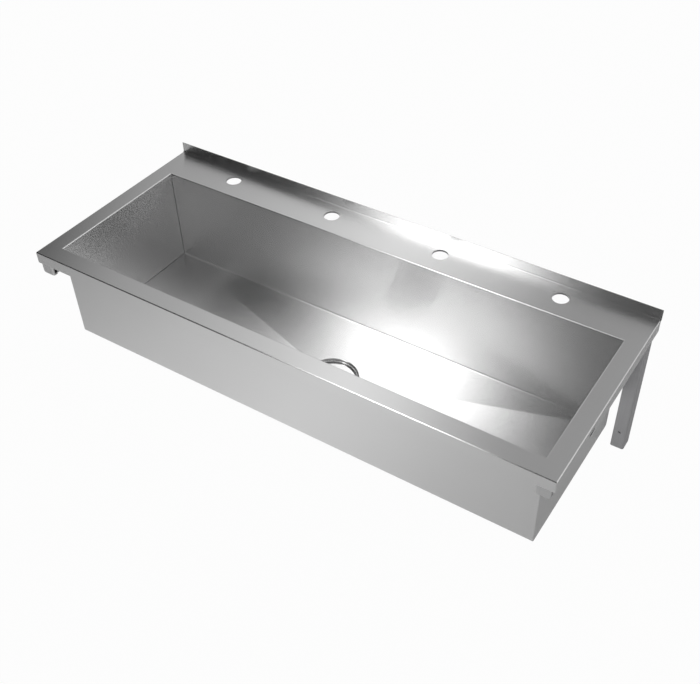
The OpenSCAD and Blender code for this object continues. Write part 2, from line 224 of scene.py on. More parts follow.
def finish_piece(obj, body, finish, nodes=(), angle=35):
    """Shades the piece, gives it its finish and lets it ride on its body."""
    obj.data.shade_smooth()
    obj.data.set_sharp_from_angle(angle=math.radians(angle))
    even = obj.modifiers.new("flats", "WEIGHTED_NORMAL")
    even.keep_sharp = True
    even.weight = 100
    bake(obj)
    obj.data.materials.clear()
    obj.data.materials.append(finish)
    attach(obj, body)
    if nodes:
        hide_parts(*nodes)
    print(obj.name, len(obj.data.polygons), "faces")
    return obj


# %% [markdown]
# ## Outlines with rounded corners
# A bent channel, a folded tab and a turned ring all start as a flat outline. This helper takes the
# sharp corners and a radius for each, and puts an arc in place of the corner.

# %% Round an outline, then sweep or turn it
def rounded(corners, steps=6):
    """corners is a list of (a, b, radius). Returns the closed outline's points."""
    points = []
    count = len(corners)
    for i, (a, b, radius) in enumerate(corners):
        here = Vector((a, b))
        if radius <= 0:
            points.append(here)
            continue
        before = (Vector(corners[i - 1][:2]) - here).normalized()
        after = (Vector(corners[(i + 1) % count][:2]) - here).normalized()
        half = before.angle(after) / 2
        centre = here + (before + after).normalized() * (radius / math.sin(half))
        start = here + before * (radius / math.tan(half)) - centre
        end = here + after * (radius / math.tan(half)) - centre
        turn = start.angle_signed(end)
        for k in range(steps + 1):
            angle = -turn * k / steps
            points.append(centre + Vector((start.x * math.cos(angle) - start.y * math.sin(angle),
                                           start.x * math.sin(angle) + start.y * math.cos(angle))))
    return points


PLACE = {"x": lambda p, s: Vector((s, p.x, p.y)), "y": lambda p, s: Vector((p.x, s, p.y)),
         "z": lambda p, s: Vector((p.x, p.y, s))}


def sweep(name, outline, axis, low, high):
    """A closed outline drawn square to an axis and carried along it, with both ends shut."""
    shape = new_shape()
    place = PLACE[axis]
    count = len(outline)
    girth = 0.0
    for i in range(count):
        p, q = outline[i], outline[(i + 1) % count]
        step = (p - q).length
        add_face(shape, [place(p, low), place(p, high), place(q, high), place(q, low)],
                 [(low, girth), (high, girth), (high, girth + step), (low, girth + step)])
        girth += step
    for end in (low, high):
        add_face(shape, [place(p, end) for p in outline], [tuple(p) for p in outline])
    return to_object(name, shape)


def turned(name, outline, centre=(0, 0), segments=128, closed=True):
    """Turns an outline of (radius, height) round an axis. A radius may be a function of the angle."""
    rows = []
    for radius, height in list(outline) + ([outline[0]] if closed else []):
        row = []
        for j in range(segments):
            angle = 2 * math.pi * j / segments
            r = radius(angle) if callable(radius) else radius
            row.append(Vector((centre[0] + r * math.cos(angle), centre[1] + r * math.sin(angle), height)))
        rows.append(row)
    shape = new_shape()
    add_rows(shape, rows, closed=True)
    return to_object(name, shape)


# %% [markdown]
# ## Grain, clouds and fine marks
# Satin steel is brushed with a belt, so its colour and gloss vary in fine streaks along the grain and
# in large, faint clouds where the belt pressed harder. The group below makes the streaks from a fine
# and a broad noise, both stretched along the grain, and the clouds from a third. Each metal places it
# with its own values, and gives it the coordinates its grain runs along.

# %% Shader group for brushed metal
def link_maths(tree, operation, first, second):
    node = tree.nodes.new("ShaderNodeMath")
    node.operation = operation
    for socket, value in zip(node.inputs, (first, second)):
        if isinstance(value, (int, float)):
            socket.default_value = value
        else:
            tree.links.new(value, socket)
    return node.outputs[0]


def make_group(name, inputs, outputs):
    tree = bpy.data.node_groups.new(name, "ShaderNodeTree")
    for label, kind, value in inputs:
        socket = tree.interface.new_socket(name=label, in_out="INPUT", socket_type=kind)
        if value is not None:
            socket.default_value = value
    for label, kind in outputs:
        tree.interface.new_socket(name=label, in_out="OUTPUT", socket_type=kind)
    return tree, tree.nodes.new("NodeGroupInput"), tree.nodes.new("NodeGroupOutput")


def noise_node(tree, vector, scale, detail=3, roughness=0.6):
    node = tree.nodes.new("ShaderNodeTexNoise")
    node.inputs["Detail"].default_value = detail
    node.inputs["Roughness"].default_value = roughness
    tree.links.new(vector, node.inputs["Vector"])
    if isinstance(scale, (int, float)):
        node.inputs["Scale"].default_value = scale
    else:
        tree.links.new(scale, node.inputs["Scale"])
    return node.outputs["Fac"]


STREAK_STRETCH = 0.012
BROAD_STREAKS = 60


def brushed_group():
    tree, given, made = make_group("belt brushing", [
        ("Coordinates", "NodeSocketVector", None), ("Fineness", "NodeSocketFloat", 700),
        ("Cloud size", "NodeSocketFloat", 5)],
        [("Streaks", "NodeSocketFloat"), ("Clouds", "NodeSocketFloat")])
    stretch = tree.nodes.new("ShaderNodeVectorMath")
    stretch.operation = "MULTIPLY"
    stretch.inputs[1].default_value = (STREAK_STRETCH, 1, 1)
    tree.links.new(given.outputs["Coordinates"], stretch.inputs[0])
    streaks = noise_node(tree, stretch.outputs[0], given.outputs["Fineness"], detail=4, roughness=0.7)
    broad = noise_node(tree, stretch.outputs[0], BROAD_STREAKS, detail=2)
    clouds = noise_node(tree, given.outputs["Coordinates"], given.outputs["Cloud size"], detail=3)
    both = link_maths(tree, "ADD", link_maths(tree, "MULTIPLY", streaks, 0.7),
                      link_maths(tree, "MULTIPLY", broad, 0.3))
    tree.links.new(both, made.inputs["Streaks"])
    tree.links.new(clouds, made.inputs["Clouds"])
    return tree


BRUSHING = brushed_group()
print("group", BRUSHING.name, "with", len(BRUSHING.nodes), "nodes")

# %% [markdown]
# ## Parts of a finish
# Every finish is put together from the same few parts: a shader group laid on the surface, a colour
# that varies from a dark to a light one, and a low bump. Each part has its own helper, so that a recipe
# only says which mask drives it.

# %% Helpers for a finish
def mapped(tree, value, low, high):
    """Stretches the middle of a noise, 0.3 to 0.7, over low to high."""
    node = tree.nodes.new("ShaderNodeMapRange")
    node.inputs["From Min"].default_value = 0.3
    node.inputs["From Max"].default_value = 0.7
    node.inputs["To Min"].default_value = low
    node.inputs["To Max"].default_value = high
    tree.links.new(value, node.inputs["Value"])
    return node.outputs[0]


def new_material(name, metallic):
    material = bpy.data.materials.new(name)
    material.use_nodes = True
    shader = material.node_tree.nodes["Principled BSDF"]
    shader.inputs["Metallic"].default_value = metallic
    return material, material.node_tree, shader


def placed(tree, group, coordinates, values):
    """Places a shader group with its values on the UV map or on the object's own coordinates."""
    node = tree.nodes.new("ShaderNodeGroup")
    node.node_tree = group
    for label, value in values.items():
        node.inputs[label].default_value = value
    places = tree.nodes.new("ShaderNodeTexCoord")
    tree.links.new(places.outputs[coordinates], node.inputs["Coordinates"])
    return node


def tinted(tree, dark, light, share):
    """A colour from dark at share 0 to light at share 1."""
    tint = tree.nodes.new("ShaderNodeMix")
    tint.data_type = "RGBA"
    tint.inputs["A"].default_value = (*dark, 1)
    tint.inputs["B"].default_value = (*light, 1)
    tree.links.new(share, tint.inputs["Factor"])
    return tint.outputs["Result"]


def raised(tree, height, strength, distance):
    relief = tree.nodes.new("ShaderNodeBump")
    relief.inputs["Strength"].default_value = strength
    relief.inputs["Distance"].default_value = distance
    tree.links.new(height, relief.inputs["Height"])
    return relief.outputs[0]


# %% [markdown]
# ## The metals
# One recipe serves all the steel. The streaks shift the base colour and the roughness a little and
# raise a very low bump, while the stretched highlight of a brushed face comes from the shader's own
# anisotropy, turned to lie across the UV map's grain. Only the numbers differ from metal to metal: a
# pressing has no grain left, so its highlight isn't stretched.

# %% Recipe for steel
QUARTER_TURN = 0.25
GRAIN_DEPTH = 0.02 * MM
STREAK_SHARE, CLOUD_SHARE = 0.65, 0.35


def steel(name, dark, light, gloss, stretch, bump=0.04, fineness=700, from_uv=True):
    """dark and light are colours, gloss is the lowest and highest roughness, stretch the anisotropy."""
    material, tree, shader = new_material(name, 1)
    shader.inputs["Anisotropic"].default_value = stretch
    shader.inputs["Anisotropic Rotation"].default_value = QUARTER_TURN
    brushing = placed(tree, BRUSHING, "UV" if from_uv else "Object", {"Fineness": fineness})
    streaks, clouds = brushing.outputs["Streaks"], brushing.outputs["Clouds"]
    if from_uv:
        tangent = tree.nodes.new("ShaderNodeTangent")
        tangent.direction_type = "UV_MAP"
        tangent.uv_map = "grain"
        tree.links.new(tangent.outputs[0], shader.inputs["Tangent"])
    shade = link_maths(tree, "ADD", mapped(tree, streaks, 0, STREAK_SHARE),
                       mapped(tree, clouds, 0, CLOUD_SHARE))
    tree.links.new(tinted(tree, dark, light, shade), shader.inputs["Base Color"])
    middle = (gloss[0] + gloss[1]) / 2
    rough = link_maths(tree, "ADD", mapped(tree, streaks, gloss[0], middle),
                       mapped(tree, clouds, 0, gloss[1] - middle))
    tree.links.new(rough, shader.inputs["Roughness"])
    tree.links.new(raised(tree, streaks, bump, GRAIN_DEPTH), shader.inputs["Normal"])
    return material


def grey(level, blue=0.0):
    return (level, level, level + blue)


SATIN = steel("satin sheet", grey(0.73), grey(0.78), (0.2, 0.25), 1.0)
# The leg's grey is darker than the arm's: partly its duller mill finish, partly painted shade.
MILL_AND_PAINTED_SHADE = steel("mill-finish leg with painted shade", grey(0.46, 0.01), grey(0.56, 0.01), (0.3, 0.44), 0.3, fineness=400)
ARM = steel("brushed arm", grey(0.58), grey(0.68), (0.3, 0.42), 0.4, fineness=500)
PLATE = steel("mill-finish plate", grey(0.46, 0.01), grey(0.56, 0.01), (0.32, 0.44), 0,
              fineness=300, from_uv=False)
POLISHED = steel("polished knob", grey(0.68), grey(0.76), (0.08, 0.16), 0.5, bump=0.02, fineness=900)
SOFT_PRESSED = steel("soft pressed steel", grey(0.7), grey(0.76), (0.18, 0.26), 0, bump=0.02, fineness=900)
BRIGHT = steel("bright screw metal", grey(0.56, 0.01), grey(0.66, 0.01), (0.16, 0.28), 0, fineness=900)
print("steels:", [m.name for m in (SATIN, MILL_AND_PAINTED_SHADE, ARM, PLATE, POLISHED, SOFT_PRESSED, BRIGHT)])

# %% [markdown]
# ## Rubber, plastic, pads and welds
# The soft and moulded parts and the welds have no grain. A group of two noises makes a fine skin and
# larger dull patches, and each material sets how strong they are. Rubber is dark and almost matt, the
# moulded nut is smooth with a faint waviness, and the pads are coarse, like pressed bitumen.

# %% Recipe for finishes without grain
def skin_group():
    tree, given, made = make_group("moulded skin", [
        ("Coordinates", "NodeSocketVector", None), ("Skin size", "NodeSocketFloat", 1500),
        ("Patch size", "NodeSocketFloat", 30)],
        [("Skin", "NodeSocketFloat"), ("Patches", "NodeSocketFloat")])
    for size, mask in (("Skin size", "Skin"), ("Patch size", "Patches")):
        marks = noise_node(tree, given.outputs["Coordinates"], given.outputs[size])
        tree.links.new(marks, made.inputs[mask])
    return tree


SKIN = skin_group()
SKIN_BUMP = 0.6


def moulded(name, dark, light, gloss, skin_size, depth, patch_size=30, metallic=0):
    """dark and light are colours, gloss the lowest and highest roughness, depth the skin's relief."""
    material, tree, shader = new_material(name, metallic)
    skin = placed(tree, SKIN, "Object", {"Skin size": skin_size, "Patch size": patch_size})
    patches = skin.outputs["Patches"]
    tree.links.new(tinted(tree, dark, light, mapped(tree, patches, 0, 1)), shader.inputs["Base Color"])
    tree.links.new(mapped(tree, patches, *gloss), shader.inputs["Roughness"])
    tree.links.new(raised(tree, skin.outputs["Skin"], SKIN_BUMP, depth), shader.inputs["Normal"])
    return material


RUBBER = moulded("black rubber", (0.022, 0.022, 0.022), (0.045, 0.044, 0.043), (0.5, 0.7), 1800, 0.05 * MM)
SLIP = moulded("pale slip plastic", (0.68, 0.66, 0.6), (0.78, 0.76, 0.7), (0.35, 0.5), 1200, 0.02 * MM)
WHITE_NUT = moulded("white moulded nut", (0.7, 0.7, 0.68), (0.8, 0.8, 0.78), (0.25, 0.4), 900, 0.03 * MM)
PAD = moulded("damping pad", (0.045, 0.045, 0.048), (0.09, 0.09, 0.095), (0.65, 0.9), 420, 0.5 * MM)
WELD = moulded("brushed weld", (0.38, 0.375, 0.36), (0.5, 0.495, 0.485), (0.3, 0.5), 700, 0.1 * MM,
               patch_size=120, metallic=1)
SEAM = moulded("dressed seam", grey(0.22), grey(0.3), (0.35, 0.5), 900, 0.01 * MM,
               patch_size=60, metallic=1)
print("soft, moulded and welded:", [m.name for m in (RUBBER, SLIP, WHITE_NUT, PAD, WELD, SEAM)])

# %% [markdown]
# ## The rim
# The rim is one folded tray edge: a flange hangs outside, a lip turns into the bowl, and the landing
# rises to the upstand through a small cove. Its outer bends are quarter arcs carried round three sides
# and mitred at the front corners, which are ground to a small radius.

# %% Sweep the outer fold round three sides
CORNER = 2 * MM


def bend_steps(radius, steps=7):
    """Quarter arc as (inward, down) pairs, from the flat to the leg."""
    return [(radius * (1 - math.sin(a)), -radius * (1 - math.cos(a)))
            for a in (math.pi / 2 * k / steps for k in range(steps + 1))]


def edge_row(inset, height, corner=CORNER, steps=8):
    """The rim's outline at a distance in from its outer edge, from the wall round to the wall."""
    half = []
    reach = max(corner - inset, 0)
    bent = max(corner, inset)
    half.append(Vector((HALF_LENGTH - inset, COVE_START, height)))
    for k in range(steps + 1):
        angle = math.pi / 2 * k / steps
        half.append(Vector((HALF_LENGTH - bent + reach * math.cos(angle),
                            -DEPTH + bent - reach * math.sin(angle), height)))
    return [Vector((-p.x, p.y, p.z)) for p in half] + half[::-1]


rim = new_shape()
outer_profile = bend_steps(EDGE_BEND) + [(0, -FLANGE)]
add_rows(rim, [edge_row(inset, height) for inset, height in outer_profile])
print("outer fold:", len(rim.faces), "faces")


# %% [markdown]
# ## Lip, top and upstand
# The lip stiffens the edge of the opening, and the cove lets a cloth reach the corner at the wall. The
# lip is the same quarter arc turned inwards, and the cove is an arc carried straight along the wall.
# The flat top between them needs four quads. All of it is one skin, thickened at the end.

# %% Lip, flat top, cove and upstand
def opening_row(out, height):
    left, right = -BOWL_HALF - out, BOWL_HALF + out
    front, back = BOWL_FRONT - out, BOWL_BACK + out
    return [Vector((x, y, height)) for x, y in ((left, back), (left, front), (right, front), (right, back))]


lip_profile = bend_steps(EDGE_BEND) + [(0, -LIP)]
add_rows(rim, [opening_row(out, height) for out, height in lip_profile], closed=True)

outer_corners = [Vector((s * (HALF_LENGTH - EDGE_BEND), y, 0)) for s, y in
                 ((-1, COVE_START), (-1, -DEPTH + EDGE_BEND), (1, -DEPTH + EDGE_BEND), (1, COVE_START))]
inner_corners = opening_row(EDGE_BEND, 0)
for i in range(4):
    corners = [outer_corners[i], outer_corners[(i + 1) % 4], inner_corners[(i + 1) % 4], inner_corners[i]]
    add_face(rim, corners, [(c.x, c.y) for c in corners])

stops = [-HALF_LENGTH, -HALF_LENGTH + EDGE_BEND, HALF_LENGTH - EDGE_BEND, HALF_LENGTH]
cove = [(COVE_START + COVE * math.sin(a), COVE * (1 - math.cos(a)))
        for a in (math.pi / 2 * k / 8 for k in range(9))]
add_rows(rim, [[Vector((x, y, z)) for x in stops] for y, z in cove + [(-SHEET, UPSTAND)]])
rim = to_object("trough_rim", rim, facing=(0, -0.2, 3))
thicken(rim, SHEET)
print("rim skin:", len(rim.data.polygons), "faces")


# %% [markdown]
# ## Holes in the rim
# Taps stand in the four round holes of the landing, and each end flange has a slot for a fixing. A
# press punches them with a die. Here a boolean does it with a cutter of the same form, which leaves
# the crisp edge that a punched hole has.

# %% Punch the tap holes and the end slots
OVERCUT = 10 * MM


def round_cutter(x, y, low, high, radius):
    circle = [(radius, low), (radius, high), (0, high), (0, low)]
    return turned("cutter", circle, centre=(x, y), segments=96)


def slot_cutter(side):
    y, z, half_long, half_tall = -333 * MM, -13 * MM, 11 * MM, 3.5 * MM
    corners = ((-1, -1), (1, -1), (1, 1), (-1, 1))
    outline = rounded([(y + a * half_long, z + b * half_tall, half_tall * 0.9995) for a, b in corners])
    return sweep("cutter", outline, "x", side * (HALF_LENGTH - OVERCUT), side * (HALF_LENGTH + OVERCUT))


cut_with(rim, [round_cutter(x, TAP_ROW, -OVERCUT / 2, OVERCUT / 2, TAP_HOLE) for x in TAP_PLACES])
cut_with(rim, [slot_cutter(-1), slot_cutter(1)])
finish_piece(rim, "trough", SATIN,
             ["front_rim", "left_rim", "right_rim", "tap_landing", "upstand"])

# %% [markdown]
# ## The bowl
# One long sheet is folded into the front wall, the floor and the back wall, and a plate is welded into
# each end. The floor is four shallow falls that meet on creases running to the waste. Rays from the
# waste carry the floor's points, with a ray on each crease and one close on either side, so the crease
# shades softly and the falls stay flat. Round the waste a recess is pressed down. The press wipes the
# brushing off, so that ring is a piece of its own, with a soft and smooth finish.

# %% Where the rays meet the floor's edge
FLOOR_FRONT = BOWL_FRONT + BOWL_BEND
FLOOR_BACK = BOWL_BACK - BOWL_BEND
RAYS = 120
BESIDE_CREASE, CLEAR_OF_CREASE = 0.005, 0.012


def fall_share(x, y):
    """0 at the waste and 1 at the floor's edge."""
    side = (y - WASTE.y) / ((FLOOR_BACK if y > WASTE.y else FLOOR_FRONT) - WASTE.y)
    return max(abs(x) / BOWL_HALF, side)


def floor_height(x, y):
    return -BOWL_DEPTH - FLOOR_FALL * (1 - fall_share(x, y))


corner_angles = [math.atan2(y - WASTE.y, x) for x in (-BOWL_HALF, BOWL_HALF)
                 for y in (FLOOR_FRONT, FLOOR_BACK)]
angles = [2 * math.pi * k / RAYS - math.pi for k in range(RAYS)]
angles = [a for a in angles if min(abs(a - c) for c in corner_angles) > CLEAR_OF_CREASE]
angles = sorted(angles + [c + d for c in corner_angles for d in (-BESIDE_CREASE, 0, BESIDE_CREASE)])


def edge_point(angle):
    """The floor's edge along a ray, as distances from the waste."""
    c, s = math.cos(angle), math.sin(angle)
    reach = BOWL_HALF / abs(c) if abs(c) > 1e-9 else 9.0
    limit = (FLOOR_BACK - WASTE.y) if s > 0 else (WASTE.y - FLOOR_FRONT)
    return min(reach, limit / abs(s)) if abs(s) > 1e-9 else reach


print(len(angles), "rays from the waste")


# %% [markdown]
# ## The floor and its recess
# A ring of the floor is a share of the way from the recess out to the edge, so every ring lies on the
# falls. Inside them, rings by radius follow the two pressed bends down to a flat seat for the waste.
# The recess has a mesh of its own, because its finish differs.

# %% The floor with its pressed recess
PRESS_BEND, FOOT_BEND = 3 * MM, 1.5 * MM


def ring_on_floor(share=None, radius=None, drop=0.0, height=None):
    """A ring of the floor by its share of the way out, or a ring of the pressing by its radius."""
    row = []
    for angle in angles:
        start = RECESS + PRESS_BEND
        r = radius if radius is not None else start + (edge_point(angle) - start) * share
        x, y = r * math.cos(angle), WASTE.y + r * math.sin(angle)
        row.append(Vector((x, y, height if height is not None else floor_height(x, y) - drop)))
    return row


bowl = new_shape()
floor_rows = [ring_on_floor(share=s) for s in (1, 0.97, 0.8, 0.6, 0.4, 0.2, 0.08, 0)]
add_rows(bowl, floor_rows, closed=True, flat=lambda p: (p.x, p.y))
pressed = [floor_rows[-1]]
for angle in (0.2, 0.4, 0.6, 0.8, 1.0, 1.2, 1.4, math.pi / 2):
    pressed.append(ring_on_floor(radius=RECESS + PRESS_BEND * (1 - math.sin(angle)),
                                 drop=PRESS_BEND * (1 - math.cos(angle))))
for angle in (0, 0.4, 0.8, 1.2, math.pi / 2):
    pressed.append(ring_on_floor(radius=RECESS - FOOT_BEND * (1 - math.cos(angle)),
                                 height=SEAT + FOOT_BEND * (1 - math.sin(angle))))
pressed.append(ring_on_floor(radius=WASTE_HOLE, height=SEAT))
recess = new_shape()
add_rows(recess, pressed, closed=True)
print("floor:", len(bowl.faces), "faces, recess:", len(recess.faces), "faces")

# %% [markdown]
# ## Walls and end plates
# The sheet bends up from the floor's edge into the front and back walls. They are built on the edge's
# own points, so no gap opens along the bend. The end plates are flat and follow the bowl's section,
# and the whole skin is thickened outwards.

# %% The long walls and the end plates
floor_edge = floor_rows[0]
BENDS = [math.pi / 2 * k / 8 for k in range(9)]
for y_edge, away in ((FLOOR_FRONT, -1), (FLOOR_BACK, 1)):
    columns = sorted((p for p in floor_edge if abs(p.y - y_edge) < 1e-6), key=lambda p: p.x)
    rows = []
    for a in BENDS:
        y, z = y_edge + away * BOWL_BEND * math.sin(a), -BOWL_DEPTH + BOWL_BEND * (1 - math.cos(a))
        rows.append([Vector((p.x, y, z)) for p in columns])
    rows.append([Vector((p.x, y_edge + away * BOWL_BEND, -LIP)) for p in columns])
    add_rows(bowl, rows)


def section(inset, edge_points=()):
    """The bowl's inside outline across its length, from the front lip to the back lip."""
    radius = BOWL_BEND - inset
    centre = -BOWL_DEPTH + BOWL_BEND

    def bend(y, away):
        return [Vector((y + away * radius * math.sin(a), centre - radius * math.cos(a))) for a in BENDS]

    front, back = bend(FLOOR_FRONT, -1)[::-1], bend(FLOOR_BACK, 1)
    middle = [Vector((y, -BOWL_DEPTH + inset)) for y in edge_points]
    return ([Vector((BOWL_FRONT + inset, -LIP))] + front + middle + back
            + [Vector((BOWL_BACK - inset, -LIP))])


for side in (-1, 1):
    ends = sorted(p.y for p in floor_edge if abs(p.x - side * BOWL_HALF) < 1e-6)[1:-1]
    outline = section(0, ends)
    add_face(bowl, [Vector((side * BOWL_HALF, p.x, p.y)) for p in outline], [(p.x, p.y) for p in outline])
bowl = to_object("trough_bowl", bowl, facing=(0, -0.25, 0))
thicken(bowl, SHEET)
finish_piece(bowl, "trough", SATIN,
             ["bowl_wrap", "left_bowl_end", "right_bowl_end"], angle=30)
recess = to_object("waste_recess", recess, facing=(0, -0.25, 0))
thicken(recess, SHEET)
finish_piece(recess, "trough", SOFT_PRESSED, angle=30)

# %% [markdown]
# ## The welds in the bowl
# The end plates are welded in and the seam is dressed back to a thin line. A narrow hollow strip
# along the joint catches the light as that line does.

# %% Dress the end seams
def end_seam(side):
    shape = new_shape()
    rows = []
    for inset, back in ((0.02, 1.0), (0.18, 0.5), (0.5, 0.18), (1.0, 0.02)):
        rows.append([Vector((side * (BOWL_HALF - back * MM), p.x, p.y)) for p in section(inset * MM)])
    add_rows(shape, rows)
    return to_object("seam", shape, facing=(0, -0.25, 0))


seams = join_into(end_seam(-1), [end_seam(1)])
seams.name = "bowl_seams"
finish_piece(seams, "trough", SEAM, angle=60)

# %% [markdown]
# ## The waste
# A pressed flange lies level with the lowest point of the floor and steps down to its gasket in the
# recess, with a cup below it and a threaded tail for the trap. It is one outline turned round its
# axis. The threads are cut by letting the radius depend on the angle, so the groove climbs once a turn
# like a real screw.

# %% Turn the waste's body
def thread(radius, depth, pitch, height):
    """Radius of a screw thread at a height, as a function of the angle."""
    def at(angle):
        phase = (height / pitch - angle / (2 * math.pi)) % 1
        return radius - depth * (0.5 + 0.5 * math.cos(2 * math.pi * phase))
    return at


def threaded(radius, depth, pitch, low, high, per_turn=6):
    """Outline points of a thread from its low end to its high end."""
    count = max(2, round((high - low) / pitch * per_turn))
    heights = [low + (high - low) * k / count for k in range(count + 1)]
    return [(thread(radius, depth, pitch, h), h) for h in heights]


def in_mm(pairs):
    return [(r * MM, z * MM) for r, z in pairs]


def arc(centre, radius, start, end, steps=6):
    """Outline points of an arc, in millimetres and degrees."""
    points = []
    for k in range(steps + 1):
        angle = math.radians(start + (end - start) * k / steps)
        points.append((centre[0] + radius * math.cos(angle), centre[1] + radius * math.sin(angle)))
    return points


inside = in_mm([(57.5, -240.9), (57.4, -240.35), (57.1, -240.05), (56.7, -240)]
               + arc((56.3, -242), 2, 90, 180) + arc((53.5, -244.5), 0.8, 0, -90)
               + arc((43.6, -246.1), 0.8, 90, 180) + arc((41.8, -269.8), 1, 0, -90)
               + [(20.4, -270.8), (20, -271.2), (20, -271.98), (26.8, -271.98),
                  (26.8, -311.4), (27.3, -312)])
tail = (in_mm([(28.9, -312)]) + threaded(29.8 * MM, 1.1 * MM, 2.31 * MM, -311.2 * MM, -276 * MM)
        + in_mm([(29.2, -274.5), (29.2, -272.02)]))
cup = (in_mm([(42.6, -272), (43.3, -271.4)]) + threaded(44 * MM, 0.7 * MM, 2 * MM, -271 * MM, -253 * MM)
       + in_mm([(43.6, -252), (43.6, -246.5)]))
outside = in_mm(arc((54.7, -245.7), 0.8, -90, 0) + arc((56.3, -242), 0.8, 180, 90) + [(57.5, -241.2)])
waste = turned("waste_pressing", inside + tail + cup + outside, centre=WASTE, segments=144)
finish_piece(waste, "trough", SOFT_PRESSED, ["waste_body"], angle=50)

# %% [markdown]
# ## Seals
# A gasket under the flange and a thick washer under the recess make the joint tight, and a slip ring
# lets the lock nut turn without dragging the rubber. All three are flat rings with soft edges, so one
# outline serves them with sizes of their own.

# %% Turn the seals
def soft_ring(name, inner, outer, low, high, edge=0.4):
    """A ring in millimetres. Its outer edges are rounded by edge, the inner ones by half of that."""
    outline = rounded([(inner, low, edge * 0.5), (outer, low, edge), (outer, high, edge),
                       (inner, high, edge * 0.5)], steps=4)
    return turned(name, in_mm(outline), centre=WASTE)


for name, sizes, slot, finish, node in (
        ("flange_gasket", (44.4, 55.5, -248, -246.5), "rubber", RUBBER, "waste_gasket"),
        ("recess_washer", (44.4, 57, -252.2, -249.2, 0.8), "rubber", RUBBER, "waste_washer"),
        ("nut_slip_ring", (44.4, 57, -253.2, -252.2, 0.3), "slip_plastic", SLIP, "slip_ring")):
    finish_piece(soft_ring(name, *sizes), "trough", finish, [node])


# %% [markdown]
# ## The lock nut
# The nut is moulded, with six lugs for a wrench. It is turned like the rings, but its radius depends
# on the angle and steps out at each lug through a short ramp.

# %% Mould the lock nut
def lug_outline(body, reach, half_width, ramp=1.5):
    """Radius of the nut by angle, in millimetres: body between the lugs and reach on them."""
    def at(angle):
        turn = (angle + math.pi / 6) % (math.pi / 3) - math.pi / 6
        off = abs(turn) * reach
        share = min(max((half_width - off) / ramp + 1, 0), 1)
        return (body + (reach - body) * share * share * (3 - 2 * share)) * MM
    return at


lug_rows = [(49.9, 56.9, 2.6, -263.2), (50.7, 57.7, 3, -262.9), (51, 58, 3, -262.2),
            (51, 58, 3, -254.2), (50.7, 57.7, 3, -253.5), (49.9, 56.9, 2.6, -253.2)]
nut_rows = (in_mm([(44.5, -263.2)])
            + [(lug_outline(body, reach, half_width), z * MM) for body, reach, half_width, z in lug_rows]
            + in_mm([(44.5, -253.2), (44.05, -253.7), (44.05, -262.7)]))
lock_nut = turned("moulded_lock_nut", nut_rows, centre=WASTE, segments=360)
finish_piece(lock_nut, "trough", WHITE_NUT, ["waste_lock_nut"], angle=45)

# %% [markdown]
# ## The strainer basket
# The basket lifts out by its knob. It is a thin pressed cup with a flat rim, slots down its wall and
# drain holes round the plug. The cup is turned first, and the slots and holes are cut from it with
# small cutters set round its axis.

# %% Turn the cup and cut its slots
SLOTS, HOLES = 16, 24
BORE = 3.05
basket_outline = in_mm([(52.2, -245), (52.5, -244.7), (52.3, -244.3), (51.9, -244.2)]
                       + arc((36.4, -245.4), 1.2, 90, 180, 5) + arc((34.2, -264.7), 1, 0, -90, 5)
                       + [(BORE, -265.7), (BORE, -266.5)]
                       + arc((34.2, -264.7), 1.8, -90, 0, 5) + arc((36.4, -245.4), 0.4, 180, 90, 3))
basket = turned("basket_cup", basket_outline, centre=WASTE, segments=192)


def around_waste(obj, angle):
    """Turns a cutter's mesh round the waste's axis."""
    middle = Vector((WASTE.x, WASTE.y, 0))
    turn = Matrix.Rotation(angle, 4, "Z")
    obj.data.transform(Matrix.Translation(middle) @ turn @ Matrix.Translation(-middle))
    return obj


def slot_in_wall(angle):
    half, low, high, corner = 1.5 * MM, -263.5 * MM, -248 * MM, 1.4 * MM
    outline = rounded([(-half, low, corner), (half, low, corner), (half, high, corner),
                       (-half, high, corner)], steps=4)
    moved = [Vector((WASTE.y + p.x, p.y)) for p in outline]
    return around_waste(sweep("cutter", moved, "x", 33 * MM, 38 * MM), angle)


def drain_hole(angle):
    return around_waste(round_cutter(29.6 * MM, WASTE.y, -268 * MM, -264 * MM, 1.6 * MM), angle)


slots = [slot_in_wall(2 * math.pi * k / SLOTS) for k in range(SLOTS)]
holes = [drain_hole(2 * math.pi * k / HOLES) for k in range(HOLES)]
cut_with(basket, [join_into(slots[0], slots[1:])])
cut_with(basket, [join_into(holes[0], holes[1:])])
finish_piece(basket, "basket", SOFT_PRESSED, ["strainer_basket"], angle=40)

# %% [markdown]
# ## Plug, knob and stem
# Under the basket a rubber plug shuts the outlet, held by a small nut on the stem. The knob is turned,
# with a rounded crown and a shallow finger groove.

# %% Plug, knob and nut
plug_outline = in_mm([(BORE, -270.5), (21.6, -270.5)] + arc((23, -269.5), 1, -90, 0, 4) + [(23.4, -268.4)]
                     + arc((23.4, -267.1), 0.6, 0, 90, 4) + [(BORE, -266.5)])
finish_piece(turned("outlet_plug", plug_outline, centre=WASTE), "basket", RUBBER, ["basket_plug"])

knob_outline = (in_mm([(0, -274.5), (2.6, -274.5)])
                + threaded(3 * MM, 0.3 * MM, 1 * MM, -274.1 * MM, -267 * MM)
                + in_mm([(3, -266), (3, -244.2), (7.6, -244.2), (8.2, -243.9), (8.3, -243), (7.7, -242.2),
                         (7.7, -241.6), (8.4, -241), (9, -240.2)]
                        + arc((6.4, -239.8), 2.6, 0, 90, 7) + [(0, -237.2)]))
knob = turned("lift_knob", knob_outline, centre=WASTE, segments=96, closed=False)
finish_piece(knob, "basket", POLISHED, ["basket_knob"], angle=50)


def six_sided(half_flats, chamfer):
    """Radius of a hexagon by angle, no further than a circle that chamfers its corners."""
    def at(angle):
        turn = (angle + math.pi / 6) % (math.pi / 3) - math.pi / 6
        return min(half_flats / math.cos(turn), chamfer)
    return at


